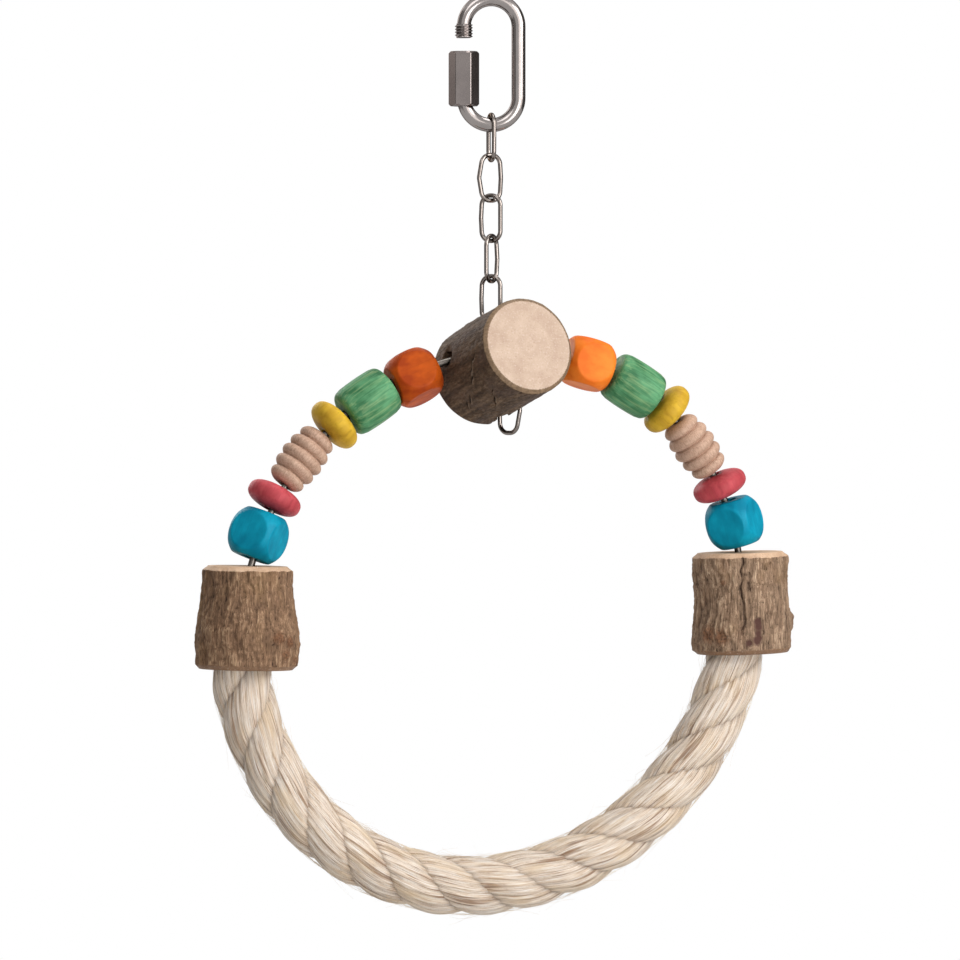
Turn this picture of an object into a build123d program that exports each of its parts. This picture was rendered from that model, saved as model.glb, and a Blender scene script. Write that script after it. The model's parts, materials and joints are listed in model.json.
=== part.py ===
from build123d import *

import os
from math import asin, atan, cos, degrees, floor, radians, sin, sqrt

# A hoop swing for cage birds, hung by a chain and a threaded quick link. Lengths are in millimetres.
# The origin is the inside top of the quick link, where the swing hangs. +Z is up, the hoop stands
# parallel to the XZ plane, and its front faces -Y. Left and right are as seen from the front.
# Angles round the hoop run clockwise from its crown, as seen from the front.

# Quick link: a bent rod with a stud, and a hexagonal sleeve that screws up over the stud to close the mouth
rod_diameter = 5.0
eye_width = 14.5
eye_length = 39.9
eye_turn = -20.0
stud_diameter = 5.8
stud_length = 4.1
stud_chamfer = 0.5
mouth_gap = 4.7
sleeve_length = 19.6
sleeve_across_flats = 9.6
sleeve_chamfer = 0.8
sleeve_clearance = 0.3
sleeve_turn = 11.0
spigot_depth = 2.0

# Chain: welded oval links, each with a slight outward kink where it is welded
chain_wire = 1.6
link_width = 5.8
link_length = 14.6
link_gap = 0.2
link_end_flat = 0.1
link_kink_radius = 3.0
link_turns = [85.0, 15.0, -48.0, 42.0, -49.0, 72.0, 3.0, -60.0]
left_kinks = [0.25, 1.6, 0.4, 0.0, 0.3, 0.3, 0.0, 0.3]
right_kinks = [0.0, 0.5, 0.0, 0.9, 0.0, 0.0, 0.3, 1.8]
hung_links = 6
tail_side_gap = 0.65
tail_drop = 0.8
tail_right = 0.55
tail_lean = 38.0

# Hoop: a closed wire of four quarter arcs, a little out of round so that it leans to the right
hoop_wire_diameter = 2.5
hoop_radius = 95.3
hoop_lean = 8.6
hoop_right = 0.7
hoop_side_gap = 0.5
hoop_drop = 0.55

# Centre log, which reaches farther to the front of the chain than behind it. It has a hole drilled from above for
# the chain, one from below for its tail and a cross hole for the hoop wire
log_diameter = 35.5
log_length = 40.0
log_rim = 1.2
log_right = 0.1
log_forward = 8.4
log_drop = 5.6
log_turn = 9.0
log_tilt = 17.0
chain_hole_diameter = 15.0
chain_hole_right = 0.2
chain_hole_back = 0.5
chain_hole_floor = 5.0
tail_hole_diameter = 18.0
tail_hole_right = 2.4
tail_hole_lean = 16.0
wire_hole_diameter = 7.0

# Collars of branch wood, which the rope's ends seat in
collar_length = 36.5
collar_rim = 1.6
left_collar_top = 31.6
left_collar_foot = 37.2
left_collar_tilt = 4.6
left_collar_inset = 1.8
right_collar_top = 34.0
right_collar_foot = 36.4
right_collar_tilt = -3.9
right_collar_inset = 0.0
neck_diameter = 4.2
knot_diameter = 15.0
knot_bulge = 1.8
knot_drop = 7.0
rope_seat_depth = 17.0
rope_seat_clearance = 0.9
rope_end_gap = 1.2

# Rope perch
rope_diameter = 21.5
rope_wire_clearance = 0.15

# Wooden beads, threaded from the log down to the collars with some play below the log
left_bead_play = 1.4
right_bead_play = 7.0
left_bead_gap = 0.25
right_bead_gap = 0.45
bead_wire_clearance = 1.75
left_bead_insets = [1.4, 0.8, -0.2, -0.6, -1.3, -0.9]
right_bead_insets = [0.0, 0.0, -1.0, 0.4, -0.4, -0.9]
cube_width = 16.9
cube_corner_diameter = 21.9
cube_edge = 0.8
cube_turns = {"left": (45.0, 24.0), "right": (45.0, 4.0)}
rondelle_diameter = 20.0
rondelle_width = 9.0
rondelle_edge = 3.5
ribbed_diameter = 16.1
ribbed_end_diameter = 13.3
ribbed_length = 22.7
ribbed_valley = 1.4
ribbed_count = 5
barrel_diameter = 18.6
barrel_end_diameter = 17.6
barrel_length = 18.7
barrel_edge = 2.8

# One overrun serves every cut
overrun = 5.0

# Sizes worked out from those above
rod_radius = rod_diameter / 2
eye_radius = eye_width / 2
bend_radius = eye_radius + rod_radius
rod_top = -eye_radius
rod_foot = eye_radius - eye_length
stud_end = rod_top - stud_length
sleeve_top = stud_end - mouth_gap
sleeve_bore = stud_diameter + 2 * sleeve_clearance
link_pitch = link_length - link_gap
link_half_width = (link_width + chain_wire) / 2
first_link_inside = -eye_length - rod_radius + link_width / 2
carrier_inside = first_link_inside - (hung_links - 1) * link_pitch
carrier_bend = carrier_inside - link_length + link_width / 2
tail_back = (link_width - chain_wire) / 2 - tail_side_gap
hoop_forward = (link_width - hoop_wire_diameter) / 2 - hoop_side_gap
wide_radius = hoop_radius + hoop_lean
tight_radius = hoop_radius - hoop_lean
hang_reach = hoop_right + hoop_lean
hoop_rise = sqrt(wide_radius**2 - hang_reach**2) - hoop_lean
hoop_height = carrier_bend - hoop_drop - hoop_rise
log_angle = degrees(asin((log_right - hang_reach) / wide_radius))
bead_bore = hoop_wire_diameter + 2 * bead_wire_clearance
cube_face = sqrt(cube_corner_diameter**2 - cube_width**2)

os.makedirs("parts", exist_ok=True)


def upright(turn, origin=(0, 0, 0)):
    """An upright plane turned about Z, whose own Y points up."""
    heading = radians(turn)
    return Plane(origin, x_dir=(cos(heading), sin(heading), 0), z_dir=(sin(heading), -cos(heading), 0))


def hoop_quarter(angle):
    """The centre and radius of the quarter of the hoop that holds an angle."""
    quarter = int(angle % 360 // 90)
    side = [1, -1, -1, 1][quarter]
    rise = [1, 1, -1, -1][quarter]
    radius = [tight_radius, wide_radius][quarter % 2]
    return (hoop_right + side * hoop_lean, hoop_height + rise * hoop_lean), radius


def hoop_station(angle, inset=0, turn=0):
    """A plane across the hoop wire, or inside its line by an inset: its own Z runs clockwise along the wire.

    Its own X points outward from the hoop, or is turned from there about the wire.
    """
    (x, z), radius = hoop_quarter(angle)
    across, along = sin(radians(angle)), cos(radians(angle))
    outward, backward = cos(radians(turn)), sin(radians(turn))
    reach = radius - inset
    origin = (x + reach * across, -hoop_forward, z + reach * along)
    return Plane(origin, x_dir=(across * outward, backward, along * outward), z_dir=(along, 0, -across))


def hoop_profile(angle, inset):
    """A plane for turned profiles: its own X points outward from the wire, its own Y along the wire."""
    station = hoop_station(angle, inset)
    return Plane(station.origin, x_dir=station.x_dir, z_dir=(0, 1, 0))


def hoop_axis(angle, inset):
    """The line along the hoop wire at an angle, or beside it by an inset."""
    station = hoop_station(angle, inset)
    return Axis(station.origin, station.z_dir)


def hoop_path(stops):
    """The hoop's line between successive angles, where no arc crosses a quarter's end."""
    with BuildLine(upright(0, (0, -hoop_forward, 0))) as path:
        for start, stop in zip(stops, stops[1:]):
            centre, radius = hoop_quarter((start + stop) / 2)
            CenterArc(centre, radius, 90 - start, start - stop)
    return path.line


def path_start(path):
    """A plane across the start of a path."""
    return Plane(path @ 0, z_dir=path % 0)


def rib_radius(place):
    """Crest radius of the ribbed bead, where place runs from -1 at the first rib to 1 at the last."""
    return ribbed_diameter / 2 - (ribbed_diameter - ribbed_end_diameter) / 2 * place**2


def valley_point(index):
    """The point of the ribbed bead's outline between two ribs, or at an end."""
    half_count = (ribbed_count - 1) / 2
    along = (index / ribbed_count - 1 / 2) * ribbed_length
    place = (index - 1 / 2 - half_count) / half_count
    return (rib_radius(place) - ribbed_valley, along)


def crest_point(index):
    """The point of the ribbed bead's outline on top of a rib."""
    half_count = (ribbed_count - 1) / 2
    along = ((index + 1 / 2) / ribbed_count - 1 / 2) * ribbed_length
    return (rib_radius((index - half_count) / half_count), along)


# Quick link rod, from the end of its stud over the top and round to the spigot inside the sleeve
with BuildPart() as quick_link:
    with BuildLine(upright(eye_turn)) as rod_path:
        Line((-bend_radius, stud_end), (-bend_radius, rod_top))
        JernArc((-bend_radius, rod_top), (0, 1), bend_radius, -180)
        Line((bend_radius, rod_top), (bend_radius, rod_foot))
        JernArc((bend_radius, rod_foot), (0, -1), bend_radius, -180)
        Line((-bend_radius, rod_foot), (-bend_radius, sleeve_top - spigot_depth))
    with BuildSketch(path_start(rod_path.line)):
        Circle(stud_diameter / 2)
    extrude(amount=stud_length)
    chamfer(quick_link.edges().filter_by(GeomType.CIRCLE), stud_chamfer)
    with BuildSketch(path_start(rod_path.line)):
        Circle(rod_radius)
    sweep(path=rod_path.line)
quick_link.part.label = "quick_link"
export_step(quick_link.part, "parts/quick_link.step")

# Hexagonal sleeve: a turned blank with chamfered ends, milled to six flats and bored through
sleeve_seat = upright(eye_turn).from_local_coords((-bend_radius, sleeve_top))
sleeve_face = Plane(sleeve_seat).rotated((0, 0, eye_turn + sleeve_turn))
with BuildPart(sleeve_face) as quick_link_sleeve:
    across_corners = sleeve_across_flats / cos(radians(30))
    Cylinder(across_corners / 2, sleeve_length, align=(Align.CENTER, Align.CENTER, Align.MAX))
    chamfer(quick_link_sleeve.edges().filter_by(GeomType.CIRCLE), sleeve_chamfer)
    with BuildSketch(sleeve_face):
        RegularPolygon(sleeve_across_flats / 2, 6, major_radius=False)
    extrude(amount=-sleeve_length, mode=Mode.INTERSECT)
    with BuildSketch(sleeve_face):
        Circle(sleeve_bore / 2)
    extrude(amount=-sleeve_length, mode=Mode.SUBTRACT)
quick_link_sleeve.part.label = "quick_link_sleeve"
export_step(quick_link_sleeve.part, "parts/quick_link_sleeve.step")


def link_plane(index):
    """The plane of a link, with its origin in the middle of the top bend and its own Y along the link.

    The tail's first link hangs beside the hoop wire in the last hung link and leans in its own plane, because the
    hole in the log guides it. The second link hangs straight again.
    """
    grip = chain_wire + link_gap
    if index < hung_links:
        return upright(link_turns[index], (0, 0, first_link_inside - index * link_pitch + chain_wire / 2))
    held = upright(link_turns[hung_links], (tail_right, tail_back, carrier_bend - tail_drop - grip))
    lean = radians(tail_lean)
    tail = Plane(held.origin, x_dir=held.x_dir * cos(lean) + held.y_dir * sin(lean), z_dir=held.z_dir)
    if index == hung_links:
        return Plane(tail.from_local_coords((0, grip)), x_dir=tail.x_dir, z_dir=tail.z_dir)
    bend_centre = tail.from_local_coords((0, link_half_width - link_pitch))
    return upright(link_turns[index], bend_centre + Vector(0, 0, grip - link_half_width))


def chain_link(index):
    """One link: an oval loop of wire with a kink at mid-height on one or both sides."""
    half_width = link_half_width
    height = link_length + chain_wire
    bend = half_width - link_end_flat
    corners = [(-half_width, 0), (half_width, 0), (half_width, -height), (-half_width, -height)]
    radii = [bend, bend, bend, bend]
    if left_kinks[index]:
        corners.append((-half_width - left_kinks[index], -height / 2))
        radii.append(link_kink_radius)
    if right_kinks[index]:
        corners.insert(2, (half_width + right_kinks[index], -height / 2))
        radii.insert(2, link_kink_radius)
    with BuildPart() as link:
        with BuildLine(link_plane(index)) as loop:
            FilletPolyline(*corners, radius=radii, close=True)
        with BuildSketch(path_start(loop.line)):
            Circle(chain_wire / 2)
        sweep(path=loop.line)
    return link.part


for index in range(len(link_turns)):
    link = chain_link(index)
    link.label = f"chain_link_{index + 1}"
    export_step(link, f"parts/{link.label}.step")

# Hoop wire, welded into one closed loop
with BuildPart() as hoop_wire:
    hoop_line = hoop_path([0, 90, 180, 270, 360])
    with BuildSketch(path_start(hoop_line)):
        Circle(hoop_wire_diameter / 2)
    sweep(path=hoop_line)
hoop_wire.part.label = "hoop_wire"
export_step(hoop_wire.part, "parts/hoop_wire.step")

# Centre log: a round of branch wood with bevelled ends. The hole for the tail leans from the chain's hole.
log_wire = hoop_station(log_angle)
log_heading = radians(log_turn)
log_rise = radians(log_tilt)
log_direction = Vector(sin(log_heading) * cos(log_rise), -cos(log_heading) * cos(log_rise), sin(log_rise))
log_centre = log_wire.origin - Vector(0, -hoop_forward, log_drop) + log_direction * log_forward
chain_hole_start = Vector(chain_hole_right, chain_hole_back, carrier_bend - chain_wire - chain_hole_floor)
tail_hole_start = Vector(tail_hole_right, tail_back, carrier_bend)
tail_hole_angle = radians(tail_hole_lean)
with BuildPart() as center_log:
    with BuildSketch(Plane(log_centre, z_dir=log_direction)):
        Circle(log_diameter / 2)
    extrude(amount=log_length / 2, both=True)
    chamfer(center_log.edges().filter_by(GeomType.CIRCLE), log_rim)
    with BuildSketch(Plane(chain_hole_start)):
        Circle(chain_hole_diameter / 2)
    extrude(amount=log_diameter, mode=Mode.SUBTRACT)
    with BuildSketch(Plane(tail_hole_start, z_dir=(sin(tail_hole_angle), 0, -cos(tail_hole_angle)))):
        Circle(tail_hole_diameter / 2)
    extrude(amount=log_diameter, mode=Mode.SUBTRACT)
    with BuildSketch(log_wire):
        Circle(wire_hole_diameter / 2)
    extrude(amount=log_diameter, both=True, mode=Mode.SUBTRACT)
center_log.part.label = "center_log"
export_step(center_log.part, "parts/center_log.step")

bead_lengths = [cube_width, barrel_length, rondelle_width, ribbed_length, rondelle_width, cube_width]
bead_faces = [
    cube_face,
    barrel_end_diameter - 2 * barrel_edge,
    rondelle_diameter - 2 * rondelle_edge,
    2 * valley_point(0)[0],
    rondelle_diameter - 2 * rondelle_edge,
    cube_face,
]


def farther_along(angle, side, distance):
    """The angle at a distance farther along the hoop, clockwise where side is 1 and back where it is -1."""
    quarter_end = side * 90 * (floor(side * angle / 90) + 1)
    radius = hoop_quarter(angle)[1]
    reach = radius * radians(side * (quarter_end - angle))
    if distance < reach:
        return angle + side * degrees(distance / radius)
    return quarter_end + side * degrees((distance - reach) / hoop_quarter(quarter_end + side)[1])


def stack_angles(side, play, gap, tilt):
    """Angles of one side's six beads and its collar, from the log down. Side is 1 on the right, -1 on the left.

    The first bead's corners clear the log by the play. Ends meet at their inner edges in the tighter bend.
    """
    (x, z), radius = hoop_quarter(side * 45)
    reach = (log_diameter + cube_corner_diameter) / 2 / cos(log_heading) + play
    angles = [degrees(asin((log_right + side * reach - x) / radius))]
    spans = []
    for length, face in zip(bead_lengths, bead_faces):
        spans.append(tight_radius * atan(length / (2 * tight_radius - face)))
    collar_rise = collar_length + cube_face * min(sin(radians(tilt)), 0)
    spans.append(tight_radius * asin(collar_rise / (2 * tight_radius - cube_face)))
    for above, below in zip(spans, spans[1:]):
        angles.append(farther_along(angles[-1], side, above + gap + below))
    return angles


left_stack = stack_angles(-1, left_bead_play, left_bead_gap, left_collar_tilt)
right_stack = stack_angles(1, right_bead_play, right_bead_gap, right_collar_tilt)
left_collar_angle = left_stack[-1]
right_collar_angle = right_stack[-1]


def collar(angle, way, top, foot, tilt, inset, knot):
    """A tapered round of branch wood, drilled from its foot for the rope and from its top for the wire.

    Way is 1 where clockwise along the hoop is up, as on the left, and -1 where it is down. The branch lies inside
    the wire's line by the inset, and its top leans outward by the tilt.
    """
    radius = hoop_quarter(angle)[1]
    station = hoop_station(angle, inset)
    lean = radians(tilt)
    upward = station.z_dir * way
    stem_up = upward * cos(lean) + station.x_dir * sin(lean)
    stem = Plane(station.origin, x_dir=station.x_dir * cos(lean) - upward * sin(lean), z_dir=stem_up)
    neck_length = collar_length - rope_seat_depth
    seat_turn = degrees((collar_length - rope_seat_depth) / 2 / radius)
    neck_turn = degrees((collar_length - neck_length) / 2 / radius)
    with BuildPart(stem) as body:
        Cone(foot / 2, top / 2, collar_length)
        chamfer(body.edges().filter_by(GeomType.CIRCLE), collar_rim)
        if knot:
            with Locations((foot / 2 + knot_bulge - knot_diameter / 2, 0, -knot_drop)):
                Sphere(knot_diameter / 2)
        seat = hoop_station(angle - way * seat_turn)
        with BuildSketch(seat.offset(way * rope_seat_depth / 2)):
            Circle(rope_diameter / 2 + rope_seat_clearance)
        extrude(amount=-way * (rope_seat_depth + overrun), mode=Mode.SUBTRACT)
        with BuildSketch(hoop_station(angle + way * neck_turn)):
            Circle(neck_diameter / 2)
        extrude(amount=neck_length / 2 + overrun, both=True, mode=Mode.SUBTRACT)
    return body.part


left_collar = collar(
    left_collar_angle, 1, left_collar_top, left_collar_foot, left_collar_tilt, left_collar_inset, False
)
left_collar.label = "left_collar"
export_step(left_collar, "parts/left_collar.step")
right_collar = collar(
    right_collar_angle, -1, right_collar_top, right_collar_foot, right_collar_tilt, right_collar_inset, True
)
right_collar.label = "right_collar"
export_step(right_collar, "parts/right_collar.step")

# Rope perch: threaded on the lower half of the hoop, from the bottom of one collar's seat to the other's
seat_inset = collar_length / 2 - rope_seat_depth + rope_end_gap
rope_start = right_collar_angle + degrees(seat_inset / hoop_quarter(right_collar_angle)[1])
rope_stop = left_collar_angle + 360 - degrees(seat_inset / hoop_quarter(left_collar_angle)[1])
with BuildPart() as rope_perch:
    quarter_ends = [end for end in (90, 180, 270) if rope_start < end < rope_stop]
    rope_line = hoop_path([rope_start, *quarter_ends, rope_stop])
    with BuildSketch(path_start(rope_line)):
        Circle(rope_diameter / 2)
        Circle(hoop_wire_diameter / 2 + rope_wire_clearance, mode=Mode.SUBTRACT)
    sweep(path=rope_line)
rope_perch.part.label = "rope_perch"
export_step(rope_perch.part, "parts/rope_perch.step")


def cube_bead(angle, inset, turn):
    """A cube with its corners turned round, drilled for the wire."""
    with BuildPart(hoop_station(angle, inset, turn)) as bead:
        Box(cube_width, cube_width, cube_width)
        Sphere(cube_corner_diameter / 2, mode=Mode.INTERSECT)
        fillet(bead.edges().filter_by(GeomType.CIRCLE), cube_edge)
        Cylinder(bead_bore / 2, cube_width + overrun, mode=Mode.SUBTRACT)
    return bead.part


def rondelle_bead(angle, inset):
    """A flat round bead with rounded edges."""
    with BuildPart() as bead:
        with BuildSketch(hoop_profile(angle, inset)) as profile:
            with Locations((bead_bore / 2, 0)):
                Rectangle((rondelle_diameter - bead_bore) / 2, rondelle_width, align=(Align.MIN, Align.CENTER))
            fillet(profile.vertices().sort_by(Axis.X)[-2:], rondelle_edge)
        revolve(axis=hoop_axis(angle, inset))
    return bead.part


def ribbed_bead(angle, inset):
    """A turned bead with round ribs in a barrel outline."""
    with BuildPart() as bead:
        with BuildSketch(hoop_profile(angle, inset)):
            with BuildLine():
                for index in range(ribbed_count):
                    ThreePointArc(valley_point(index), crest_point(index), valley_point(index + 1))
                Polyline(
                    valley_point(ribbed_count),
                    (bead_bore / 2, ribbed_length / 2),
                    (bead_bore / 2, -ribbed_length / 2),
                    valley_point(0),
                )
            make_face()
        revolve(axis=hoop_axis(angle, inset))
    return bead.part


def barrel_bead(angle, inset):
    """A short barrel with rounded ends."""
    end_radius = barrel_end_diameter / 2
    half_length = barrel_length / 2
    with BuildPart() as bead:
        with BuildSketch(hoop_profile(angle, inset)) as profile:
            with BuildLine():
                ThreePointArc((end_radius, -half_length), (barrel_diameter / 2, 0), (end_radius, half_length))
                Polyline(
                    (end_radius, half_length),
                    (bead_bore / 2, half_length),
                    (bead_bore / 2, -half_length),
                    (end_radius, -half_length),
                )
            make_face()
            fillet(profile.vertices().sort_by(Axis.X)[-2:], barrel_edge)
        revolve(axis=hoop_axis(angle, inset))
    return bead.part


for side, stack, insets in (("left", left_stack, left_bead_insets), ("right", right_stack, right_bead_insets)):
    orange, green, yellow, ribbed, red, blue = zip(stack, insets)
    blue_turn, orange_turn = cube_turns[side]
    beads = {
        "blue_cube": cube_bead(*blue, blue_turn),
        "red_bead": rondelle_bead(*red),
        "ribbed_bead": ribbed_bead(*ribbed),
        "yellow_bead": rondelle_bead(*yellow),
        "green_barrel": barrel_bead(*green),
        "orange_cube": cube_bead(*orange, orange_turn),
    }
    for name, bead in beads.items():
        bead.label = f"{side}_{name}"
        export_step(bead, f"parts/{bead.label}.step")
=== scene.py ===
import json
from math import cos, pi, radians, sin

import bmesh
import bpy
import numpy as np
from mathutils import Matrix, Vector


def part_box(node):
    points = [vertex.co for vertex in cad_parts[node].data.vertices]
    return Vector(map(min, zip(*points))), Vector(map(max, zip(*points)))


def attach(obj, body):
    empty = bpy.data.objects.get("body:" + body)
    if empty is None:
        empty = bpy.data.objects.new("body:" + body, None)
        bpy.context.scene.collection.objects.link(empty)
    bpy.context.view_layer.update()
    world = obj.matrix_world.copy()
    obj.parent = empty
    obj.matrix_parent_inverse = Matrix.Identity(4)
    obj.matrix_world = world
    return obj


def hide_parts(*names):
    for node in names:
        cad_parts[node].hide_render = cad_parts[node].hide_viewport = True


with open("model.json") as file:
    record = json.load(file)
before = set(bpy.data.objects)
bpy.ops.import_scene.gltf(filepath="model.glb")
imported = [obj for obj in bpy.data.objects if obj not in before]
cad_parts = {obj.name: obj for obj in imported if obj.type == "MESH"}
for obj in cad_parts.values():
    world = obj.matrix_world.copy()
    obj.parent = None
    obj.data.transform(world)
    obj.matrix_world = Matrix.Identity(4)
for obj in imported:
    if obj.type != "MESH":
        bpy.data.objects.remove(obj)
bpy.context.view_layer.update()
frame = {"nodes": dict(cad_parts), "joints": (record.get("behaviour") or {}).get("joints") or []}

# A hoop swing for cage birds, in metres and degrees, in the frame of the CAD: the origin is the inside top of the
# quick link, +Z is up and the hoop's front faces -Y. Angles round the hoop run clockwise from its crown.
MM = 0.001

# Hoop, from the wire's box and the one size that the box can't give
hoop_lean = 8.6 * MM
hoop_samples = 1500
wire_low, wire_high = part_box("hoop_wire")
wire_radius = (wire_high.y - wire_low.y) / 2
hoop_centre = (wire_low + wire_high) / 2
hoop_radius = (wire_high.x - wire_low.x) / 2 - wire_radius

# Rope
left_collar_angle = -84.31
right_collar_angle = 92.2
rope_tuck = 2.0
rope_radius = 10.75 * MM
rope_lay = 56.0 * MM
rope_step = 0.6 * MM
strand_count = 3
strand_radius = 7.3 * MM
strand_sides = 120
strand_drift = 0.22 * MM
yarn_count = 17
yarn_depth = 0.42 * MM
yarn_mess = 0.16 * MM
yarn_back_twist_share = 1.25
# Painted shade in the rope's grooves: the depth where it starts and the depth over which it grows full
groove_shade_start = 1.2 * MM
groove_shade_depth = 1.4 * MM
fibre_count = 1500
fibre_steps = 7
fibre_seat = 0.5 * MM
stray_share = 0.12

# Collars, with their radii at the top and the foot, and the centre log
collar_length = 36.5 * MM
collar_rim = 1.6 * MM
collar_mean_radius = 18.0 * MM
collar_voxel = 0.26 * MM
collar_radii = {"left": (15.8 * MM, 18.6 * MM), "right": (17.0 * MM, 18.2 * MM)}
collar_tilts = {"left": 4.6, "right": -3.9}
collar_insets = {"left": 1.8 * MM, "right": 0.0}
log_radius = 17.75 * MM
log_length = 40.0 * MM
log_rim = 1.2 * MM
log_forward = 8.4 * MM
log_drop = 5.6 * MM
log_turn = 9.0
log_tilt = 17.0
log_voxel = 0.27 * MM
wire_hole_radius = 3.5 * MM
wire_hole_margin = 0.15 * MM
wire_hole_start = 9.0 * MM
wire_hole_top = 0.6 * MM
back_thickness = 6.8 * MM
slot_right = 10.8 * MM
slot_radius = 3.9 * MM
slot_top = -3.1 * MM

# Quick link
rod_radius = 2.5 * MM
rod_sides = 48
eye_turn = -20.0
eye_width = 14.5 * MM
eye_length = 39.9 * MM
stud_length = 4.1 * MM
thread_length = 5.2 * MM
thread_radius = 3.25 * MM
thread_depth = 0.6 * MM
thread_pitch = 1.05 * MM
thread_taper = 0.5 * MM
thread_sides = 64
thread_rows = 110
sleeve_top = -16.05 * MM
spigot_depth = 2.0 * MM
sleeve_flats = 9.6 * MM
sleeve_bore = 3.4 * MM
sleeve_chamfer = 0.8 * MM
sleeve_turn = -113.0

# Beads
lathe_sides = 96
cube_voxel = 0.25 * MM
bore_clearance = 0.3 * MM
bore_samples = 2400
rondelle_radius = 10.0 * MM
rondelle_width = 9.0 * MM
rondelle_end = 76.0
rondelle_power = 0.8
ribbed_radius = 8.05 * MM
ribbed_end_radius = 6.65 * MM
ribbed_length = 22.7 * MM
ribbed_valley = 2.3 * MM
ribbed_count = 5
barrel_radius = 9.3 * MM
barrel_end_radius = 8.8 * MM
barrel_length = 18.7 * MM
barrel_edge = 2.2 * MM

# Studio
sky_strength = 0.22
floor_half = 4.0
floor_height = -0.6
card_distance = 1.8
card_low, card_high = -1.3, 1.1
card_columns = 9
card_tint = (1.0, 0.97, 0.95)


# Meshes


def mesh_object(name, points, faces, smooth=True):
    """A new object from points and faces."""
    mesh = bpy.data.meshes.new(name)
    mesh.from_pydata([tuple(point) for point in points], [], [tuple(face) for face in faces])
    mesh.update()
    mesh.polygons.foreach_set("use_smooth", [smooth] * len(mesh.polygons))
    piece = bpy.data.objects.new(name, mesh)
    bpy.context.scene.collection.objects.link(piece)
    return piece


def grid_faces(rows, columns, closed_rows=False, closed_columns=True, start=0):
    """Quads of a grid of points kept row after row, as an array."""
    row = np.arange(rows if closed_rows else rows - 1)
    column = np.arange(columns if closed_columns else columns - 1)
    row, column = (part.ravel() for part in np.meshgrid(row, column, indexing="ij"))
    next_row, next_column = (row + 1) % rows, (column + 1) % columns
    corners = [row * columns + column, row * columns + next_column]
    corners += [next_row * columns + next_column, next_row * columns + column]
    return np.stack(corners, axis=1) + start


def tube_faces(rows, columns, start=0):
    """Quads of a tube whose points are kept ring after ring, and a face across each end."""
    last = start + (rows - 1) * columns
    ends = [tuple(reversed(range(start, start + columns))), tuple(range(last, last + columns))]
    return grid_faces(rows, columns, start=start).tolist() + ends


def fade(reach, over):
    """A share that rises from 0 to 1 while the reach goes from 0 to a distance."""
    return np.clip(reach / over, 0, 1)


def lattice_noise(u, v, seed, wrap=None):
    """Smooth noise between -1 and 1 on a lattice of unit cells, repeating along u after wrap cells."""
    cells = 256
    table = np.random.default_rng(seed).uniform(-1, 1, (cells, cells))
    u_cell, v_cell = np.floor(u).astype(int), np.floor(v).astype(int)
    u_part, v_part = u - u_cell, v - v_cell
    u_part = u_part * u_part * (3 - 2 * u_part)
    v_part = v_part * v_part * (3 - 2 * v_part)
    u_next = u_cell + 1
    if wrap:
        u_cell, u_next = u_cell % wrap, u_next % wrap
    u_near, u_far, v_near, v_far = (cell % cells for cell in (u_cell, u_next, v_cell, v_cell + 1))
    low = table[u_near, v_near] * (1 - u_part) + table[u_far, v_near] * u_part
    high = table[u_near, v_far] * (1 - u_part) + table[u_far, v_far] * u_part
    return low * (1 - v_part) + high * v_part


def branch_noise(lap, rise, cells, length, seed):
    """Noise on a branch, with so many cells round it and each of a length along it."""
    return lattice_noise(lap * cells, rise / length, seed, cells)


def lathe(name, outline):
    """A turned piece about its own Z, from a closed outline of (radius, height) points."""
    turns = np.linspace(0, 2 * pi, lathe_sides, endpoint=False)
    radius, height = np.array(outline).T
    axes = np.outer(radius, np.cos(turns)), np.outer(radius, np.sin(turns)), np.outer(height, np.ones(lathe_sides))
    points = np.stack(axes, axis=-1).reshape(-1, 3)
    return mesh_object(name, points, grid_faces(len(radius), lathe_sides, closed_rows=True))


def arc_points(centre, radius, start, stop, count):
    """Points of an arc in an outline, from one angle to another in degrees."""
    angles = np.radians(np.linspace(start, stop, count))
    return [(centre[0] + radius * cos(angle), centre[1] + radius * sin(angle)) for angle in angles]


def planar_tube(name, path, normal, radius, sides):
    """A round tube with closed ends along a path that lies in a plane with the given normal."""
    path = np.array(path)
    along = np.gradient(path, axis=0)
    along /= np.linalg.norm(along, axis=1, keepdims=True)
    across = np.cross(along, normal)
    turns = np.linspace(0, 2 * pi, sides, endpoint=False)
    rim = np.cos(turns)[:, None] * normal + np.sin(turns)[:, None] * across[:, None, :]
    points = (path[:, None, :] + radius * rim).reshape(-1, 3)
    return mesh_object(name, points, tube_faces(len(path), sides))


def dense_copy(node, name, place, voxel, smooth_steps=0, filler=None):
    """A fine and even mesh of a CAD node, in the coordinates of its place, with any filler piece taken in."""
    rough = bpy.data.objects.new(name, frame["nodes"][node].data.copy())
    bpy.context.scene.collection.objects.link(rough)
    rough.data.transform(place.inverted())
    if filler:
        both = bmesh.new()
        both.from_mesh(rough.data)
        both.from_mesh(filler.data)
        both.to_mesh(rough.data)
        both.free()
        bpy.data.objects.remove(filler)
    remesh = rough.modifiers.new("even", "REMESH")
    remesh.mode = "VOXEL"
    remesh.voxel_size = voxel
    if smooth_steps:
        soften = rough.modifiers.new("soften", "SMOOTH")
        soften.factor = 0.5
        soften.iterations = smooth_steps
    bpy.context.view_layer.update()
    evaluated = rough.evaluated_get(bpy.context.evaluated_depsgraph_get())
    mesh = bpy.data.meshes.new_from_object(evaluated)
    bpy.data.objects.remove(rough)
    mesh.materials.clear()
    mesh.polygons.foreach_set("use_smooth", [True] * len(mesh.polygons))
    piece = bpy.data.objects.new(name, mesh)
    bpy.context.scene.collection.objects.link(piece)
    piece.matrix_world = place
    return piece


def vertex_array(mesh):
    """The mesh's points as an array of rows."""
    points = np.empty(len(mesh.vertices) * 3, np.float32)
    mesh.vertices.foreach_get("co", points)
    return points.reshape(-1, 3).astype(float)


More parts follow.
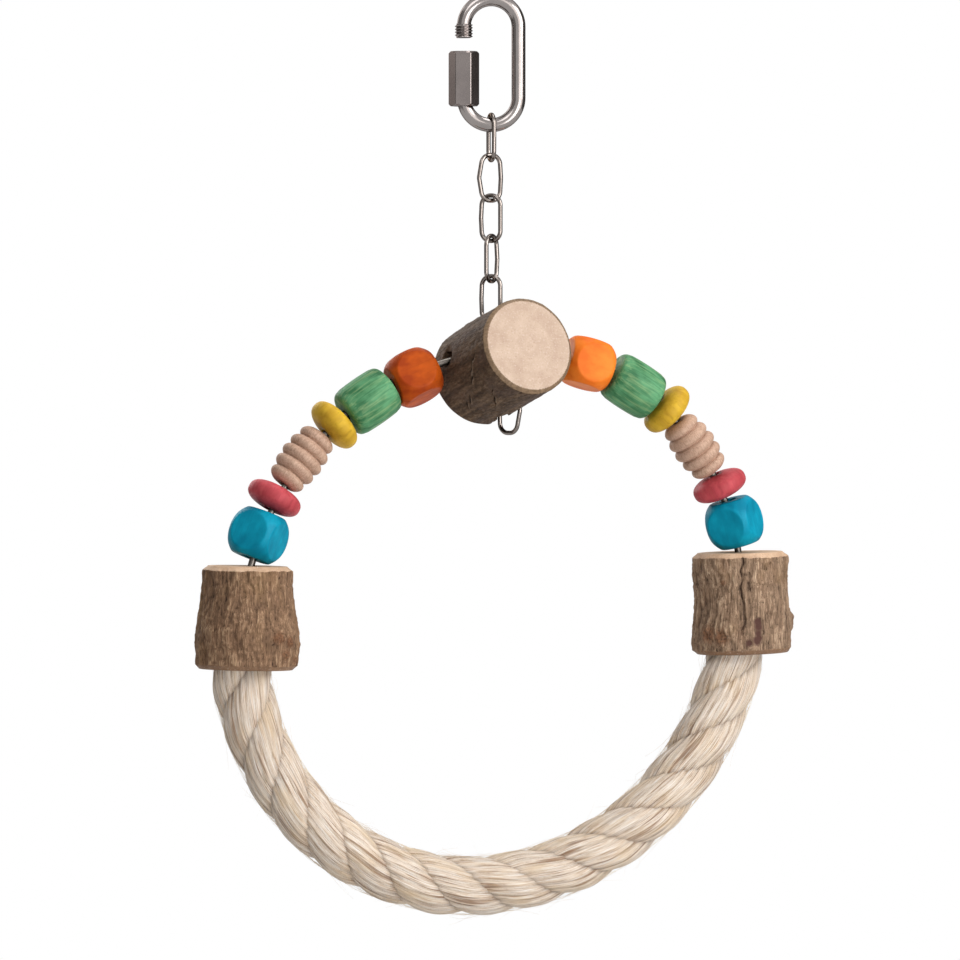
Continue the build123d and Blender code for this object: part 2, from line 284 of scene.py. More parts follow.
def face_centres(mesh):
    """The middles of the mesh's faces as an array of rows."""
    centres = np.empty(len(mesh.polygons) * 3, np.float32)
    mesh.polygons.foreach_get("center", centres)
    return centres.reshape(-1, 3).astype(float)


def keep_on_points(mesh, name, values):
    """Keeps a share on each of the mesh's points, for its material."""
    mesh.attributes.new(name, "FLOAT", "POINT").data.foreach_set("value", np.clip(values, 0, 1))


def place_on(point, along, outward):
    """A place with its own Z along a direction and its own X as near outward as that allows."""
    along = Vector(along).normalized()
    side = along.cross(Vector(outward)).normalized()
    front = side.cross(along)
    return Matrix.Translation(point) @ Matrix((front, side, along)).transposed().to_4x4()


def joint_of(body):
    """The joint that carries a body."""
    return next(entry for entry in frame["joints"] if entry["child"] == body)


def finish_piece(piece, body, slot, *nodes):
    """Puts a finished piece on its body, in the stead of the CAD nodes that it shows."""
    if nodes:
        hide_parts(*nodes)
    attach(piece, body)


# Hoop line


def hoop_quarter(angle):
    """The centre and radius of the quarter of the hoop that holds an angle."""
    quarter = int(angle % 360 // 90)
    side = (1, -1, -1, 1)[quarter]
    rise = (1, 1, -1, -1)[quarter]
    radius = hoop_radius + hoop_lean * (-1, 1)[quarter % 2]
    return hoop_centre + Vector((side * hoop_lean, 0, rise * hoop_lean)), radius


def hoop_point(angle):
    """The point on the wire at an angle, the direction outward there and the direction clockwise along it."""
    centre, radius = hoop_quarter(angle)
    outward = Vector((sin(radians(angle)), 0, cos(radians(angle))))
    along = Vector((cos(radians(angle)), 0, -sin(radians(angle))))
    return centre + radius * outward, outward, along


def hoop_run(start, stop, step):
    """Evenly spaced stations along the wire: lengths, points, and directions outward and along, as arrays."""
    angles = np.linspace(start, stop, hoop_samples)
    points = np.array([hoop_point(angle)[0] for angle in angles])
    reach = np.concatenate([[0], np.cumsum(np.linalg.norm(np.diff(points, axis=0), axis=1))])
    lengths = np.linspace(0, reach[-1], int(reach[-1] / step))
    points = np.stack([np.interp(lengths, reach, points[:, axis]) for axis in range(3)], axis=1)
    turns = np.radians(np.interp(lengths, reach, angles))
    outward = np.stack([np.sin(turns), np.zeros_like(turns), np.cos(turns)], axis=1)
    along = np.stack([np.cos(turns), np.zeros_like(turns), -np.sin(turns)], axis=1)
    return lengths, points, outward, along


# Materials


def tint(red, green, blue):
    """A colour given as it is seen on screen, turned into the linear values that shaders take."""
    return tuple(c / 12.92 if c <= 0.04045 else ((c + 0.055) / 1.055) ** 2.4 for c in (red, green, blue)) + (1.0,)


class Shader:
    """A material's node tree, with short calls for the nodes that the materials below share."""

    def __init__(self, name):
        self.material = bpy.data.materials.new(name)
        self.material.use_nodes = True
        self.nodes = self.material.node_tree.nodes
        self.links = self.material.node_tree.links
        self.surface = self.nodes["Principled BSDF"]

    def set(self, **values):
        """Sets the surface's own sockets, with spaces in their names written as underscores."""
        for name, value in values.items():
            self.surface.inputs[name.replace("_", " ")].default_value = value
        return self

    def feed(self, socket, output):
        """Links an output to one of the surface's sockets."""
        self.links.new(output, self.surface.inputs[socket])

    def coordinates(self, scale, uv=False):
        """The piece's own coordinates, or its UV map, stretched by a scale."""
        source = self.nodes.new("ShaderNodeTexCoord").outputs["UV" if uv else "Object"]
        mapping = self.nodes.new("ShaderNodeMapping")
        mapping.inputs["Scale"].default_value = scale
        self.links.new(source, mapping.inputs["Vector"])
        return mapping.outputs["Vector"]

    def noise(self, scale, detail=3.0, roughness=0.55, distortion=0.0, uv=False):
        """Noise whose features are one over the scale in size along each axis."""
        texture = self.nodes.new("ShaderNodeTexNoise")
        texture.inputs["Scale"].default_value = 1.0
        texture.inputs["Detail"].default_value = detail
        texture.inputs["Roughness"].default_value = roughness
        texture.inputs["Distortion"].default_value = distortion
        self.links.new(self.coordinates(scale, uv), texture.inputs["Vector"])
        return texture.outputs["Fac"]

    def ramp(self, value, stops):
        """Colours or greys along a value, from stops of (position, colour)."""
        ramp = self.nodes.new("ShaderNodeValToRGB")
        elements = ramp.color_ramp.elements
        while len(elements) < len(stops):
            elements.new(0.5)
        for element, (position, colour) in zip(elements, stops):
            element.position = position
            element.color = colour if isinstance(colour, tuple) else (colour, colour, colour, 1.0)
        self.links.new(value, ramp.inputs["Fac"])
        return ramp.outputs["Color"]

    def mix(self, share, first, second):
        """Two colours mixed by a share. Any of the three may be a value or an output."""
        mix = self.nodes.new("ShaderNodeMix")
        mix.data_type = "RGBA"
        for socket, value in (("Factor_Float", share), ("A_Color", first), ("B_Color", second)):
            target = next(entry for entry in mix.inputs if entry.identifier == socket)
            if isinstance(value, bpy.types.NodeSocket):
                self.links.new(value, target)
            else:
                target.default_value = value
        return next(entry for entry in mix.outputs if entry.identifier == "Result_Color")

    def attribute(self, name):
        """A value kept on the mesh's points."""
        node = self.nodes.new("ShaderNodeAttribute")
        node.attribute_name = name
        return node.outputs["Fac"]

    def bump(self, height, depth):
        """Bumps from a height, as deep as the depth where the height goes from 0 to 1."""
        bump = self.nodes.new("ShaderNodeBump")
        bump.inputs["Distance"].default_value = depth
        self.links.new(height, bump.inputs["Height"])
        self.feed("Normal", bump.outputs["Normal"])


def steel(name, colour, gloss):
    """Polished steel, a little smudged, with a dim specular tint that paints darker reflections towards its edges."""
    shader = Shader(name).set(Metallic=1.0, Specular_Tint=tint(0.5, 0.48, 0.47))
    cloud = shader.noise((160, 160, 160), detail=3)
    shader.feed("Base Color", shader.ramp(cloud, [(0.3, tint(*(0.94 * c for c in colour))), (0.7, tint(*colour))]))
    shader.feed("Roughness", shader.ramp(cloud, [(0.3, gloss), (0.75, gloss + 0.05)]))
    shader.bump(shader.noise((300, 300, 300), detail=1), 0.004 * MM)
    return shader.material


def dyed_wood(name, light, dark, streak, grain_depth):
    """Dyed wood with a faint satin gloss: the grain runs along the piece's own Z and takes the dye unevenly."""
    shader = Shader(name).set(IOR=1.45, Specular_IOR_Level=0.1)
    grain = shader.noise((1000, 1000, 60), detail=5, roughness=0.6)
    cloud = shader.noise((150, 150, 110), detail=3)
    colour = shader.ramp(cloud, [(0.35, tint(*dark)), (0.65, tint(*light))])
    pale = tint(*(0.55 * c + 0.45 * p for c, p in zip(light, (0.85, 0.8, 0.55))))
    deep = tint(*(0.7 * c for c in dark))
    colour = shader.mix(shader.ramp(grain, [(0.5, 0.0), (0.7, streak)]), colour, pale)
    colour = shader.mix(shader.ramp(grain, [(0.3, grain_depth), (0.46, 0.0)]), colour, deep)
    shader.feed("Base Color", colour)
    shader.feed("Roughness", shader.ramp(grain, [(0.2, 0.55), (0.8, 0.38)]))
    shader.bump(grain, 0.05 * MM)
    return shader.material


def bare_wood(name, light, dark):
    """Sanded bare wood with short darker flecks along its own Z."""
    shader = Shader(name).set(IOR=1.45, Specular_IOR_Level=0.3)
    fleck = shader.noise((2600, 2600, 500), detail=3, roughness=0.6)
    grain = shader.noise((600, 600, 60), detail=3)
    colour = shader.ramp(fleck, [(0.3, tint(*dark)), (0.58, tint(*light))])
    colour = shader.mix(shader.ramp(grain, [(0.35, 0.4), (0.65, 0.0)]), colour, tint(*dark))
    shader.feed("Base Color", colour)
    shader.feed("Roughness", shader.ramp(fleck, [(0.2, 0.75), (0.8, 0.55)]))
    shader.bump(fleck, 0.06 * MM)
    return shader.material


def sisal():
    """Silky plant fibre: long fine lines along the yarns, some yarns yellower, and painted shade down in the grooves.
    """
    shader = Shader("sisal").set(IOR=1.5, Specular_IOR_Level=0.4, Sheen_Weight=0.2, Sheen_Roughness=0.4)
    fibre = shader.noise((5, 170, 1), detail=5, roughness=0.7, uv=True)
    yarn = shader.noise((1.6, 34, 1), detail=3, uv=True)
    patch = shader.noise((2.4, 7, 1), detail=2, uv=True)
    stops = [(0.34, tint(0.5, 0.35, 0.25)), (0.42, tint(0.84, 0.725, 0.61))]
    stops += [(0.52, tint(0.96, 0.9, 0.83)), (0.64, tint(1.0, 0.975, 0.95))]
    colour = shader.ramp(fibre, stops)
    colour = shader.mix(shader.ramp(yarn, [(0.35, 0.85), (0.44, 0.0)]), colour, tint(0.58, 0.43, 0.3))
    colour = shader.mix(shader.ramp(patch, [(0.5, 0.0), (0.7, 0.4)]), colour, tint(0.89, 0.76, 0.56))
    # Painted shade in the rope's grooves, from the share kept on the mesh
    colour = shader.mix(shader.attribute("groove"), colour, tint(0.4, 0.27, 0.17))
    shader.feed("Base Color", colour)
    shader.feed("Roughness", shader.ramp(fibre, [(0.3, 0.6), (0.7, 0.34)]))
    shader.bump(fibre, 0.5 * MM)
    return shader.material


def loose_fibre():
    """The rope's stray fibres."""
    shader = Shader("loose_fibre").set(IOR=1.5, Specular_IOR_Level=0.3, Roughness=0.5)
    shade = shader.noise((90, 90, 90), detail=2)
    shader.feed("Base Color", shader.ramp(shade, [(0.35, tint(0.8, 0.68, 0.53)), (0.65, tint(0.94, 0.88, 0.78))]))
    return shader.material


def collar_bark(name, light, mid, dark):
    """Rough bark: lighter on the ridges along the branch, redder on the warts, dark where the bark is missing."""
    shader = Shader(name).set(Specular_IOR_Level=0.2)
    fibre = shader.noise((2300, 2300, 190), detail=5, roughness=0.75, distortion=0.5)
    speck = shader.noise((1700, 1700, 1100), detail=4, roughness=0.6)
    patch = shader.noise((130, 130, 60), detail=3)
    moss = shader.noise((90, 90, 50), detail=2, distortion=0.5)
    stops = [(0.34, tint(*dark)), (0.46, tint(*(0.87 * c for c in mid))), (0.53, tint(*mid)), (0.64, tint(*light))]
    colour = shader.ramp(shader.mix(0.72, shader.attribute("ridge"), fibre), stops)
    colour = shader.mix(shader.ramp(patch, [(0.5, 0.0), (0.75, 0.3)]), colour, tint(0.47, 0.32, 0.23))
    colour = shader.mix(shader.ramp(moss, [(0.52, 0.0), (0.75, 0.3)]), colour, tint(0.62, 0.49, 0.33))
    colour = shader.mix(shader.ramp(speck, [(0.33, 0.6), (0.41, 0.0)]), colour, tint(0.19, 0.13, 0.1))
    wart = shader.ramp(shader.attribute("wart"), [(0.25, 0.0), (0.8, 0.7)])
    wart_colour = shader.ramp(speck, [(0.36, tint(0.22, 0.12, 0.08)), (0.6, tint(0.54, 0.36, 0.24))])
    colour = shader.mix(wart, colour, wart_colour)
    colour = shader.mix(shader.attribute("bare"), colour, tint(0.34, 0.23, 0.2))
    shader.feed("Base Color", colour)
    shader.feed("Roughness", shader.ramp(fibre, [(0.3, 0.95), (0.7, 0.75)]))
    shader.bump(shader.mix(0.4, fibre, speck), 0.6 * MM)
    return shader.material


def log_bark():
    """Thin smooth bark, brown with greyer patches, streaked along the branch and dark in its cracks."""
    shader = Shader("log_bark").set(Specular_IOR_Level=0.1)
    grit = shader.noise((1300, 1300, 500), detail=5, roughness=0.65)
    streak = shader.noise((420, 420, 45), detail=4, roughness=0.6)
    patch = shader.noise((85, 85, 60), detail=3)
    stops = [(0.32, tint(0.18, 0.137, 0.103)), (0.48, tint(0.32, 0.25, 0.193)), (0.68, tint(0.51, 0.415, 0.325))]
    colour = shader.ramp(shader.mix(0.5, grit, streak), stops)
    colour = shader.mix(shader.ramp(patch, [(0.45, 0.0), (0.7, 0.55)]), colour, tint(0.33, 0.27, 0.255))
    crack = shader.ramp(shader.attribute("crack"), [(0.3, 0.0), (0.8, 0.9)])
    scar = shader.ramp(shader.attribute("scar"), [(0.3, 0.0), (0.9, 0.45)])
    colour = shader.mix(crack, colour, tint(0.13, 0.09, 0.07))
    colour = shader.mix(scar, colour, tint(0.6, 0.53, 0.46))
    shader.feed("Base Color", colour)
    shader.feed("Roughness", shader.ramp(grit, [(0.3, 0.8), (0.7, 0.55)]))
    shader.bump(grit, 0.2 * MM)
    return shader.material


def cut_wood(name, light, dark):
    """The sawn and sanded end of a branch: clouds of fine pores and hardly any growth rings."""
    shader = Shader(name).set(Specular_IOR_Level=0.3)
    pores = shader.noise((1500, 1500, 1500), detail=3, roughness=0.6)
    cloud = shader.noise((160, 160, 160), detail=3)
    rings = shader.nodes.new("ShaderNodeTexWave")
    rings.wave_type = "RINGS"
    rings.rings_direction = "Z"
    rings.inputs["Scale"].default_value = 90.0
    rings.inputs["Distortion"].default_value = 3.0
    rings.inputs["Detail"].default_value = 3.0
    shader.links.new(shader.coordinates((1, 1, 1)), rings.inputs["Vector"])
    colour = shader.ramp(cloud, [(0.35, tint(*(0.5 * (a + b) for a, b in zip(light, dark)))), (0.65, tint(*light))])
    colour = shader.mix(shader.ramp(rings.outputs["Fac"], [(0.2, 0.1), (0.8, 0.0)]), colour, tint(*dark))
    colour = shader.mix(shader.ramp(pores, [(0.3, 0.75), (0.42, 0.0)]), colour, tint(*dark))
    colour = shader.mix(shader.ramp(pores, [(0.58, 0.0), (0.68, 0.4)]), colour, tint(*(0.4 + 0.6 * c for c in light)))
    shader.feed("Base Color", colour)
    shader.feed("Roughness", shader.ramp(pores, [(0.2, 0.75), (0.8, 0.55)]))
    shader.bump(pores, 0.06 * MM)
    return shader.material


def inner_bark():
    """The thin brown ring between bark and wood, smoothed where the end is bevelled."""
    shader = Shader("inner_bark").set(Specular_IOR_Level=0.3)
    grit = shader.noise((900, 900, 900), detail=3)
    shader.feed("Base Color", shader.ramp(grit, [(0.35, tint(0.42, 0.335, 0.25)), (0.65, tint(0.54, 0.44, 0.335))]))
    shader.feed("Roughness", shader.ramp(grit, [(0.3, 0.65), (0.7, 0.5)]))
    shader.bump(grit, 0.06 * MM)
    return shader.material


# Rope


def rope_strand(index, run):
    """One strand's points, with a UV map along its yarns and a share of painted shade from the depth of the groove
    that each point lies in and from the dips between the yarns.
    """
    lengths, points, outward, along = run
    frontward = np.cross(along, outward)
    helix_radius = rope_radius - strand_radius
    lay_turn = 2 * pi * (lengths / rope_lay + index / strand_count)
    radial = np.cos(lay_turn)[:, None] * outward + np.sin(lay_turn)[:, None] * frontward
    sideways = np.cos(lay_turn)[:, None] * frontward - np.sin(lay_turn)[:, None] * outward
    flatten = 1 / cos(np.arctan(2 * pi * helix_radius / rope_lay))
    turns = np.linspace(-pi, pi, strand_sides, endpoint=False)
    twist = yarn_back_twist_share * lengths / rope_lay
    yarn = yarn_count * (turns[None, :] / (2 * pi) + twist[:, None])
    ridge = np.abs(np.cos(pi * yarn)) ** 0.7
    mess = lattice_noise(yarn * 1.7, lengths[:, None] / (9 * MM), 11 + index)
    drift = lattice_noise(turns[None, :] * 1.2, lengths[:, None] / (14 * MM), 31 + index)
    radius = strand_radius - yarn_depth * (1 - ridge) + yarn_mess * mess + strand_drift * drift
    centre = points + helix_radius * radial
    out = np.cos(turns)[None, :, None] * radial[:, None, :]
    aside = flatten * np.sin(turns)[None, :, None] * sideways[:, None, :]
    surface = centre[:, None, :] + radius[..., None] * (out + aside)
    depth = rope_radius - np.linalg.norm(surface - points[:, None, :], axis=-1)
    # Painted shade: darker the deeper a point lies in the grooves between the strands, and in the dips between the
    # yarns
    groove = fade(depth - groove_shade_start, groove_shade_depth) ** 1.5 + 0.42 * (1 - ridge) ** 2
    uv = np.stack([np.broadcast_to((lengths / rope_lay)[:, None], yarn.shape), yarn / yarn_count], axis=-1)
    return surface, groove, uv


def rope():
    """The laid rope, from inside one collar round the bottom of the hoop to inside the other. Gives its stations."""
    run = hoop_run(right_collar_angle + rope_tuck, left_collar_angle + 360 - rope_tuck, rope_step)
    points, faces, groove_shades, uvs = [], [], [], []
    for index in range(strand_count):
        surface, groove, uv = rope_strand(index, run)
        rows, columns = groove.shape
        faces += tube_faces(rows, columns, index * rows * columns)
        points.append(surface.reshape(-1, 3))
        groove_shades.append(groove.ravel())
        uvs.append(uv.reshape(-1, 2))
    piece = mesh_object("rope", np.concatenate(points), faces)
    # The painted groove shade, kept on the points for the material
    keep_on_points(piece.data, "groove", np.concatenate(groove_shades))
    corner_uv = np.concatenate(uvs)[[corner for face in faces for corner in face]]
    piece.data.uv_layers.new(name="strand").data.foreach_set("uv", corner_uv.ravel())
    piece.data.materials.append(sisal())
    finish_piece(piece, "hoop", "sisal", "rope_perch")
    return run


def rope_fibres(run):
    """Loose fibres on the rope: most lie close along the yarns and some stand off."""
    lengths, points, outward, _ = run
    front = np.array([0.0, -1.0, 0.0])
    random = np.random.default_rng(5)
    hair_points, hair_faces = [], []
    for number in range(fibre_count):
        start = random.uniform(0.06, 0.94) * lengths[-1]
        turn = random.uniform(0, 2 * pi)
        stray = random.random() < stray_share
        length = random.uniform(9, 26) * MM if stray else random.uniform(5, 16) * MM
        lift = random.uniform(1.0, 4.5) * MM if stray else random.uniform(0.1, 0.7) * MM
        slant = random.normal(0.25, 0.35 if stray else 0.2)
        bend = random.normal(0, 0.5 if stray else 0.15)
        thickness = random.uniform(0.035, 0.065) * MM
        lead = random.choice((-1, 1))
        for step in range(fibre_steps):
            share = step / (fibre_steps - 1)
            place = start + lead * share * length
            here = [np.interp(place, lengths, points[:, axis]) for axis in range(3)]
            out = np.array([np.interp(place, lengths, outward[:, axis]) for axis in range(3)])
            angle = turn + lead * (slant * share * length + bend * share**2 * length) / rope_radius
            radial = cos(angle) * out + sin(angle) * front
            centre = np.array(here) + (rope_radius - fibre_seat + lift * share**2) * radial
            width = thickness * (1 - 0.7 * share)
            sideways = cos(angle) * front - sin(angle) * out
            corners = [radial, 0.7 * (sideways - radial), -0.7 * (sideways + radial)]
            # A fibre that leads back has its corners in the other order, so that its faces still look outward
            hair_points += [centre + width * corner for corner in corners[::lead]]
        hair_faces += tube_faces(fibre_steps, 3, number * fibre_steps * 3)
    piece = mesh_object("rope_fibres", hair_points, hair_faces)
    piece.data.materials.append(loose_fibre())
    finish_piece(piece, "hoop", "sisal")


# Collars and the centre log


def around_and_out(points):
    """The angle about a piece's own Z and the distance from it."""
    return np.arctan2(points[:, 1], points[:, 0]), np.hypot(points[:, 0], points[:, 1])


def arc_from(lap, place, radius):
    """How far points lie from a place round a branch of a radius, where both are shares of a turn."""
    return ((lap - place + 0.5) % 1 - 0.5) * 2 * pi * radius


def collar_stem(side, rise):
    """The radius of a collar's plain solid at a height."""
    top, foot = collar_radii[side]
    return foot + (top - foot) * (rise / collar_length + 0.5)


def collar_place(side, angle, way):
    """Where a collar sits: a little inside the wire's line, with its top leaning outward by its tilt."""
    point, outward, along = hoop_point(angle)
    tilt = radians(collar_tilts[side])
    upward = along * way * cos(tilt) + outward * sin(tilt)
    return place_on(point - outward * collar_insets[side], upward, outward)


def rough_bark(lap, rise, seed, crack):
    """Height of a collar's bark: broad waves, and ridges along the branch with fibres, pits and a long crack."""
    crack_foot, crack_width = -9 * MM, 0.45 * MM
    sway = 0.02 * branch_noise(lap, rise, 10, 8 * MM, seed)
    wave = 0.45 * branch_noise(lap, rise, 6, 12 * MM, seed + 1)
    ridge = 0.26 * branch_noise(lap + sway, rise, 52, 8 * MM, seed + 2)
    fibre = 0.26 * branch_noise(lap + sway, rise, 120, 5 * MM, seed + 3)
    scale = 0.2 * branch_noise(lap, rise, 80, 1.3 * MM, seed + 4)
    pit = -0.9 * np.clip(branch_noise(lap, rise, 60, 1.8 * MM, seed + 5) - 0.55, 0, 1)
    wander = 0.9 * MM * lattice_noise(rise / (3 * MM), 0 * rise, seed + 6)
    aside = arc_from(lap, crack, collar_mean_radius) + wander
    split = -0.8 * np.exp(-((aside / crack_width) ** 2)) * (rise > crack_foot)
    return wave * MM, (ridge + fibre + scale + pit + split) * MM


def knots(lap, rise, places):
    """Rough warts on a collar: how far they stand out, and a share that is 1 in the middle of each.

    A place is a share of the way round the collar, then a height, a size and how far it stands out, in millimetres.
    """
    bulge, share = np.zeros_like(lap), np.zeros_like(lap)
    for place, height, size, out in places:
        aside = arc_from(lap, place, collar_mean_radius)
        near = np.exp(-((aside**2 + (rise - height * MM) ** 2) / (size * MM) ** 2))
        bulge += out * MM * near
        share = np.maximum(share, near)
    return bulge, share


def collar(side, angle, way, seed, bark_material, swell, warts, crack, bare):
    """A bark-covered round of branch wood: ridged bark, warts, a patch of bare inner bark and pale cut ends, with
    painted shade on the lower end and the lower half of the bore.
    """
    piece = dense_copy(f"{side}_collar", f"{side}_bark_collar", collar_place(side, angle, way), collar_voxel)
    mesh = piece.data
    points = vertex_array(mesh)
    turn, reach = around_and_out(points)
    lap, rise = turn / (2 * pi), points[:, 2]
    stem = collar_stem(side, rise)
    bark = fade(reach - stem + 1.4 * MM, 0.5 * MM)
    bark *= fade(collar_length / 2 - 0.5 * MM - np.abs(rise), 1.0 * MM)
    heights, swells = np.array(swell).T * MM
    body = fade(reach - stem + 5 * MM, 2 * MM) * np.interp(rise, heights, swells)
    bulge, wart = knots(lap, rise, warts)
    ragged = 0.3 * branch_noise(lap, rise, 50, 1.5 * MM, seed + 8)
    smooth = np.clip(2.2 * knots(lap, rise, bare)[1] - 0.9 + ragged, 0, 1)
    wave, rough = rough_bark(lap, rise, seed, crack)
    knobs = wart * 0.8 * MM * branch_noise(lap, rise, 60, 1.8 * MM, seed + 7)
    lift = body + bark * (wave + (rough + bulge + knobs) * (1 - smooth) - 0.5 * MM * smooth)
    points[:, 0] += lift * np.cos(turn)
    points[:, 1] += lift * np.sin(turn)
    mesh.vertices.foreach_set("co", points.ravel())
    mesh.update()
    for name, value in (("ridge", 0.5 + rough / (1.6 * MM)), ("wart", wart), ("bare", smooth)):
        keep_on_points(mesh, name, value)
    centres = face_centres(mesh)
    turn, reach = around_and_out(centres)
    rise = centres[:, 2]
    edge = collar_length / 2 - collar_rim + 0.3 * MM * branch_noise(turn / (2 * pi), 0 * turn, 40, MM, seed + 9)
    wood = (np.abs(rise) > edge) | (reach < collar_stem(side, rise) - 3.2 * MM)
    # Wood faces below the middle take the foot's darker cut wood: painted shade under the collar
    kind = np.where(wood, np.where(rise > 0, 1, 2), 0)
    mesh.polygons.foreach_set("material_index", kind.astype(np.int32))
    for material in (bark_material, collar_top_material, shaded_collar_foot_material):
        mesh.materials.append(material)
    finish_piece(piece, "hoop", "collar_wood", f"{side}_collar")


def log_marks(lap, rise):
    """Old marks in the log's bark: a share for thin slanting cracks and one for the pale lips beside them.

    A mark is a share of the way round the log, and a height, a length and a width in millimetres.
    """
    crack, scar = np.zeros_like(lap), np.zeros_like(lap)
    marks = ((-0.475, 10.0, 4.0, 0.4), (-0.455, 7.0, 4.5, 0.55), (-0.425, 4.5, 3.0, 0.4), (-0.372, -5.0, 4.0, 0.45),
             (-0.36, -9.0, 3.0, 0.35), (-0.33, 6.0, 9.0, 0.3), (0.1, 3.0, 6.0, 0.5), (0.3, -6.0, 6.0, 0.45))
    for place, height, length, width in marks:
        aside = arc_from(lap, place, log_radius) / MM
        lean = aside + 0.7 * (rise / MM - height) + 0.6 * lattice_noise(rise / (1.5 * MM), 0 * rise, 81)
        fade = np.exp(-(((rise / MM - height) / length * 2) ** 4))
        crack = np.maximum(crack, np.exp(-((lean / width) ** 2)) * fade)
        scar = np.maximum(scar, np.exp(-(((lean - 2 * width) / (1.3 * width)) ** 2)) * fade)
    return crack, scar


def log_back():
    """The back of the log with a narrow slot in place of the wide tail hole's edge, in the log's own coordinates."""
    half, depth = log_length / 2, log_length / 2 - back_thickness
    points = []
    for height, radius in ((-half, log_radius - log_rim), (log_rim - half, log_radius), (-depth, log_radius)):
        sides = slot_right, slot_right - 2 * slot_radius
        first, last = (np.arctan2(-np.sqrt(radius**2 - side**2), side) for side in sides)
        outline = [(radius * cos(turn), radius * sin(turn)) for turn in np.linspace(first, last + 2 * pi, 120)]
        outline += arc_points((slot_right - slot_radius, slot_top - slot_radius), slot_radius, 180, 0, 24)
        points += [(x, y, height) for x, y in outline]
    return mesh_object("log_back", points, tube_faces(3, len(points) // 3))


def close_wire_hole(points, place, hang):
    """Lowers the upper part of the wire's hole to just above where the wire comes when the hoop swings."""
    to_world = np.array(place)
    world = points @ to_world[:3, :3].T + to_world[:3, 3]
    aside, above = world[:, 1] - hang.y, world[:, 2] - hang.z
    inside = np.hypot(aside, above) < wire_hole_radius + wire_hole_margin
    inside &= np.abs(world[:, 0] - hang.x) > wire_hole_start
    world[:, 2] = np.where(inside, np.minimum(world[:, 2], hang.z + wire_hole_top), world[:, 2])
    return (world - to_world[:3, 3]) @ to_world[:3, :3]


def centre_log():
    """The round of branch wood across the hoop's top: smooth bark, a bevelled rim, pale ends and painted shade in its
    holes.
    """
    hang = joint_of("center_log")["pos_m"]
    heading, tilt = radians(log_turn), radians(log_tilt)
    direction = Vector((sin(heading) * cos(tilt), -cos(heading) * cos(tilt), sin(tilt)))
    middle = Vector((hang[0], 0, hang[2] - log_drop)) + direction * log_forward
    place = place_on(middle, direction, (1, 0, 0))
    piece = dense_copy("center_log", "centre_log", place, log_voxel, filler=log_back())
    mesh = piece.data
    points = vertex_array(mesh)
    turn, reach = around_and_out(points)
    lap, rise = turn / (2 * pi), points[:, 2]
    bark = fade(reach - log_radius + 1.0 * MM, 0.5 * MM)
    bark *= fade(log_length / 2 - 0.8 * MM - np.abs(rise), 1.0 * MM)
    wave = 0.4 * MM * branch_noise(lap, rise, 6, 15 * MM, 71)
    groove = 0.16 * MM * branch_noise(lap, rise, 34, 9 * MM, 72)
    grit = 0.1 * MM * branch_noise(lap, rise, 120, 1.5 * MM, 73)
    crack, scar = log_marks(lap, rise)
    lift = bark * (wave + groove + grit - 0.9 * MM * crack + 0.3 * MM * scar)
    points[:, 0] += lift * np.cos(turn)
    points[:, 1] += lift * np.sin(turn)
    points = close_wire_hole(points, place, Vector(hang))
    mesh.vertices.foreach_set("co", points.ravel())
    mesh.update()
    keep_on_points(mesh, "crack", crack)
    keep_on_points(mesh, "scar", scar)
    centres = face_centres(mesh)
    _, reach = around_and_out(centres)
    height = np.abs(centres[:, 2])
    rim = height > log_length / 2 - log_rim * 0.95
    face = (height > log_length / 2 - 0.3 * MM) & (reach < log_radius - log_rim * 1.2)
    # Faces inside the holes, which take the painted shade of the bores
    inside = (reach < log_radius - 1.6 * MM) & ~rim
    kind = np.where(face, 2, np.where(inside, 3, np.where(rim, 1, 0)))
    mesh.polygons.foreach_set("material_index", kind.astype(np.int32))
    ends = cut_wood("log_end", (0.78, 0.685, 0.605), (0.66, 0.55, 0.47))
    # A much darker copy of the end's cut wood for the holes: painted shade inside them
    shaded_bores = cut_wood("log_bore_shade", (0.36, 0.27, 0.2), (0.22, 0.16, 0.12))
    for material in (log_bark(), inner_bark(), ends, shaded_bores):
        mesh.materials.append(material)
    finish_piece(piece, "center_log", "log_wood", "center_log")


# Beads


def rondelle_outline(bore):
    """Outline of a flat round bead with swelling faces and a round edge."""
    half = rondelle_width / 2
    outline = [(bore, half * 0.97), (bore, -half * 0.97)]
    for turn in np.radians(np.linspace(-rondelle_end, rondelle_end, 61)):
        reach = rondelle_radius * abs(cos(turn)) ** rondelle_power
        outline.append((reach, half * np.sign(turn) * abs(sin(turn)) ** rondelle_power))
    return outline


def ribbed_outline(bore):
    """Outline of a turned bead with round ribs, lower toward its ends."""
    outline = [(bore, ribbed_length / 2), (bore, -ribbed_length / 2)]
    for share in np.linspace(0, 1, 121):
        place = (share - 0.5) * ribbed_count / (ribbed_count - 1) * 2
        crest = ribbed_radius - (ribbed_radius - ribbed_end_radius) * place**2
        dip = ribbed_valley * (1 - np.sqrt(abs(sin(pi * share * ribbed_count))))
        outline.append((crest - dip, (share - 0.5) * ribbed_length))
    return outline


def barrel_outline(bore):
    """Outline of a short barrel with rounded ends."""
    half, edge = barrel_length / 2, barrel_edge
    outline = [(bore, half), (bore, -half), (bore * 1.1, -half)]
    outline += arc_points((barrel_end_radius - edge, edge - half), edge, -90, -6, 12)
    for share in np.linspace(-0.68, 0.68, 21):
        outline.append((barrel_radius - (barrel_radius - barrel_end_radius) * share**2, share * half))
    outline += arc_points((barrel_end_radius - edge, half - edge), edge, 6, 90, 12)
    return outline + [(bore * 1.1, half)]


def bore_at(point):
    """Radius of a bore round a point that takes in the wire beside it."""
    beside = min((hoop_point(angle)[0] - point).length for angle in np.linspace(0, 360, bore_samples))
    return beside + wire_radius + bore_clearance


